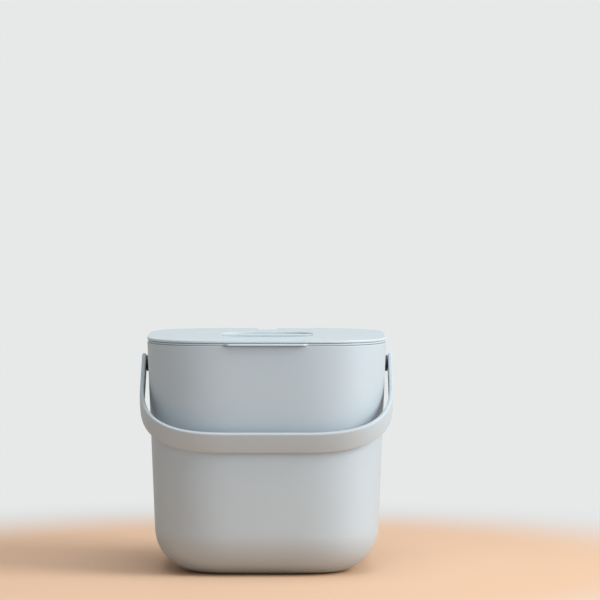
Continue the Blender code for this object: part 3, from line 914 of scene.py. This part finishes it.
def lid_outline(inset, z):
    """The lid's edge with its notch, set in by inset, counter-clockwise from the right side of the notch."""
    mouth = NOTCH_MOUTH_ROUNDING
    notch = NOTCH_WIDTH / 2
    centre_y = LID_HALF - mouth
    right = []
    for i in range(NOTCH_STEPS + 1):
        angle = math.pi / 2 * i / NOTCH_STEPS
        right.append(Vector((
            notch + mouth - (mouth - inset) * math.sin(angle), centre_y + (mouth - inset) * math.cos(angle)
        )))
    end_y = LID_HALF - NOTCH_DEPTH + notch
    for i in range(NOTCH_STEPS + 1):
        angle = math.pi / 2 * i / NOTCH_STEPS
        right.append(Vector(((notch + inset) * math.cos(angle), end_y - (notch + inset) * math.sin(angle))))
    left = [Vector((-p.x, p.y)) for p in reversed(right[:-1])]
    points = outline_open_at_back(LID_HALF - inset) + right + left
    return [(p.x, p.y, z) for p in points]


def fill_between(bm, outer, inner):
    """Fills the flat face between two closed rows of vertices."""
    edges = []
    for row in (outer, inner):
        for a, b in zip(row, row[1:] + row[:1]):
            edges.append(bm.edges.get((a, b)) or bm.edges.new((a, b)))
    bmesh.ops.triangle_fill(bm, use_beauty=True, use_dissolve=False, edges=edges, normal=(0, 0, 1))


def well_ring(half, z):
    return [(p.x, p.y, z) for p in outline(half, well_reach(half))]


def locating_lip():
    """The rib under the lid that drops into the basket's mouth, open at the notch."""
    outer = MOUTH_HALF - LIP_CLEARANCE - LIP_HEIGHT * math.tan(BASKET_DRAFT)
    section = rounded(
        [(0, LID_THICKNESS / 2), (0, -LIP_HEIGHT), (-LIP_WALL, -LIP_HEIGHT), (-LIP_WALL, LID_THICKNESS / 2)],
        [LIP_ROUNDING, LIP_ROUNDING],
        steps=LIP_ARC_STEPS,
    )
    beside = NOTCH_WIDTH / 2 + LIP_WALL
    columns = []
    for inset, z in section:
        half = outer + inset
        start, end = Vector((-beside, half)), Vector((beside, half))
        columns.append([(p.x, p.y, z) for p in [start] + outline_open_at_back(half) + [end]])
    rings = [list(ring) for ring in zip(*columns)]
    bm = bmesh.new()
    capped(bm, loft(bm, rings))
    return outward(bm)


def tongue_boxes(gap):
    """Boxes at both ends of the grip bar that reach through the well's wall."""
    bm = bmesh.new()
    middle = LID_THICKNESS - BAR_HEIGHT / 2
    start = bar_half_length(middle) - OVERRUN
    end = bar_half_length(middle) + LID_THICKNESS + gap
    width = TONGUE_WIDTH / 2 + gap
    height = TONGUE_HEIGHT / 2 + gap
    box(bm, (start, -width, middle - height), (end, width, middle + height))
    box(bm, (-end, -width, middle - height), (-start, width, middle + height))
    return outward(bm)


def build_lid(material):
    top = LID_THICKNESS
    edge_start = RUN_ON_RADII * LID_ROUNDING
    edge = rounded(
        [(edge_start, top), (0, top), (0, 0), (edge_start, 0)],
        [LID_ROUNDING, LID_ROUNDING],
        steps=EDGE_ARC_STEPS,
    )[1:-1]
    bm = bmesh.new()
    plate = loft(bm, [lid_outline(inset, z) for inset, z in edge])
    low = top - WELL_DEPTH
    fall = math.tan(WELL_DRAFT)
    cap = WELL_HALF - WELL_DEPTH * fall - WELL_FILLET
    mouth_run = RUN_ON_RADII * WELL_MOUTH_ROUNDING
    inside = rounded(
        [(WELL_HALF + mouth_run, top), (WELL_HALF, top), (WELL_HALF - WELL_DEPTH * fall, low), (cap, low)],
        [WELL_MOUTH_ROUNDING, WELL_FILLET],
    )[1:]
    under_half = WELL_HALF + LID_THICKNESS - LID_THICKNESS * fall
    under_foot = under_half - WELL_DEPTH * fall
    outside = rounded(
        [(under_half + mouth_run, 0), (under_half, 0), (under_foot, low - LID_THICKNESS),
         (cap, low - LID_THICKNESS)],
        [WELL_MOUTH_ROUNDING, WELL_FILLET + LID_THICKNESS],
    )[1:]
    upper = loft(bm, [well_ring(half, z) for half, z in inside])
    under = loft(bm, [well_ring(half, z) for half, z in outside])
    bm.faces.new(upper[-1])
    bm.faces.new(under[-1])
    fill_between(bm, plate[0], upper[0])
    fill_between(bm, plate[-1], under[0])
    lid = new_object("lid_plate", bm)
    combine(lid, tongue_boxes(SEAT_GAP), "DIFFERENCE")
    combine(lid, locating_lip(), "UNION")
    lid.data.transform(Matrix.Translation((0, 0, LID_SEAT)))
    dress(lid, "lid", material, "pale_plastic", "lid")


# Grip bar

def bar_half_length(height):
    """Half the bar's length at a height, a seat's gap short of the well's leaning wall."""
    return WELL_HALF - (LID_THICKNESS - height) * math.tan(WELL_DRAFT) - SEAT_GAP


def build_grip_bar(material):
    top = LID_THICKNESS
    foot = top - BAR_HEIGHT
    right = [(bar_half_length(foot), foot), (bar_half_length(top), top)]
    shape = right + [(-x, z) for x, z in reversed(right)]
    bm = bmesh.new()
    prism(bm, [(x, -BAR_WIDTH / 2, z) for x, z in shape], (0, BAR_WIDTH, 0))
    outward(bm)
    bmesh.ops.bevel(
        bm, geom=bm.edges[:], offset=BAR_ROUNDING, offset_type="OFFSET", segments=BAR_SEGMENTS,
        profile=BAR_EDGE_PROFILE, affect="EDGES",
    )
    bar = new_object("grip_bar", bm)
    combine(bar, tongue_boxes(0), "UNION")
    bar.data.transform(Matrix.Translation((0, 0, LID_SEAT)))
    dress(bar, "lid", material, "bar_plastic", "lid_grip_bar")


# Floor, light and camera

def background_rays(nodes, links):
    """A socket that is 1 for the rays that show the pale background: camera, glossy and transmission rays."""
    rays = nodes.new("ShaderNodeLightPath")
    either = nodes.new("ShaderNodeMath")
    either.operation = "MAXIMUM"
    links.new(rays.outputs["Is Camera Ray"], either.inputs[0])
    links.new(rays.outputs["Is Glossy Ray"], either.inputs[1])
    any_of = nodes.new("ShaderNodeMath")
    any_of.operation = "MAXIMUM"
    links.new(either.outputs["Value"], any_of.inputs[0])
    links.new(rays.outputs["Is Transmission Ray"], any_of.inputs[1])
    return any_of.outputs["Value"]


def build_floor():
    bm = bmesh.new()
    bmesh.ops.create_circle(bm, cap_ends=True, radius=FLOOR_RADIUS, segments=FLOOR_SEGMENTS)
    floor = new_object("floor", bm)
    material = bpy.data.materials.new("floor")
    material.use_nodes = True
    nodes = material.node_tree.nodes
    links = material.node_tree.links
    shader = nodes["Principled BSDF"]
    shader.inputs["Roughness"].default_value = FLOOR_ROUGHNESS
    shader.inputs["Specular IOR Level"].default_value = FLOOR_SPECULAR
    place = nodes.new("ShaderNodeTexCoord")
    distance = nodes.new("ShaderNodeVectorMath")
    distance.operation = "LENGTH"
    links.new(place.outputs["Object"], distance.inputs[0])
    fade = nodes.new("ShaderNodeMapRange")
    fade.interpolation_type = "SMOOTHSTEP"
    fade.inputs["From Min"].default_value = FADE_START
    fade.inputs["From Max"].default_value = FADE_END
    links.new(distance.outputs["Value"], fade.inputs["Value"])
    colour = nodes.new("ShaderNodeMix")
    colour.data_type = "RGBA"
    colour.inputs["A"].default_value = NEAR_FLOOR_COLOUR
    colour.inputs["B"].default_value = FAR_FLOOR_COLOUR
    links.new(fade.outputs["Result"], colour.inputs["Factor"])
    links.new(colour.outputs["Result"], shader.inputs["Base Color"])
    seen = nodes.new("ShaderNodeMath")
    seen.operation = "MULTIPLY"
    links.new(fade.outputs["Result"], seen.inputs[0])
    links.new(background_rays(nodes, links), seen.inputs[1])
    glow = nodes.new("ShaderNodeEmission")
    glow.inputs["Color"].default_value = BACKGROUND
    glow.inputs["Strength"].default_value = BACKGROUND_STRENGTH
    mix = nodes.new("ShaderNodeMixShader")
    links.new(seen.outputs["Value"], mix.inputs["Fac"])
    links.new(shader.outputs["BSDF"], mix.inputs[1])
    links.new(glow.outputs["Emission"], mix.inputs[2])
    links.new(mix.outputs["Shader"], nodes["Material Output"].inputs["Surface"])
    floor.data.materials.append(material)


def build_world():
    world = bpy.data.worlds.new("studio")
    bpy.context.scene.world = world
    world.use_nodes = True
    nodes = world.node_tree.nodes
    links = world.node_tree.links
    ambient = nodes["Background"]
    ambient.inputs["Color"].default_value = AMBIENT_COLOUR
    ambient.inputs["Strength"].default_value = AMBIENT_STRENGTH
    seen = nodes.new("ShaderNodeBackground")
    seen.inputs["Color"].default_value = BACKGROUND
    seen.inputs["Strength"].default_value = BACKGROUND_STRENGTH
    mix = nodes.new("ShaderNodeMixShader")
    links.new(background_rays(nodes, links), mix.inputs["Fac"])
    links.new(ambient.outputs["Background"], mix.inputs[1])
    links.new(seen.outputs["Background"], mix.inputs[2])
    links.new(mix.outputs["Shader"], nodes["World Output"].inputs["Surface"])


def area_light(name, place, aim, width, power, colour):
    light = bpy.data.lights.new(name, "AREA")
    light.shape = "SQUARE"
    light.size = width
    light.energy = power
    light.color = colour
    obj = bpy.data.objects.new(name, light)
    obj.location = place
    obj.rotation_euler = (Vector(aim) - Vector(place)).to_track_quat("-Z", "Y").to_euler()
    bpy.context.scene.collection.objects.link(obj)


def build_camera():
    data = bpy.data.cameras.new("camera")
    data.sensor_width = SENSOR_WIDTH
    data.lens = SENSOR_WIDTH * FOCAL_PIXELS / FRAME_PIXELS
    data.clip_start = CLIP_START
    data.clip_end = CLIP_END
    camera = bpy.data.objects.new("camera", data)
    camera.location = CAMERA_PLACE
    camera.rotation_euler = (math.pi / 2 - CAMERA_DIP, 0, 0)
    bpy.context.scene.collection.objects.link(camera)
    bpy.context.scene.camera = camera


def main():
    bin_plastic, handle_plastic, pale_plastic, bar_plastic, pin_plastic = [plastic(*row) for row in PLASTICS]
    build_bin(bin_plastic)
    build_pins(pin_plastic)
    build_handle(handle_plastic)
    build_basket(pale_plastic)
    build_lid(pale_plastic)
    build_grip_bar(bar_plastic)
    build_floor()
    build_world()
    for lamp in LAMPS:
        area_light(*lamp)
    build_camera()
    bpy.context.scene.view_settings.view_transform = "Standard"


main()
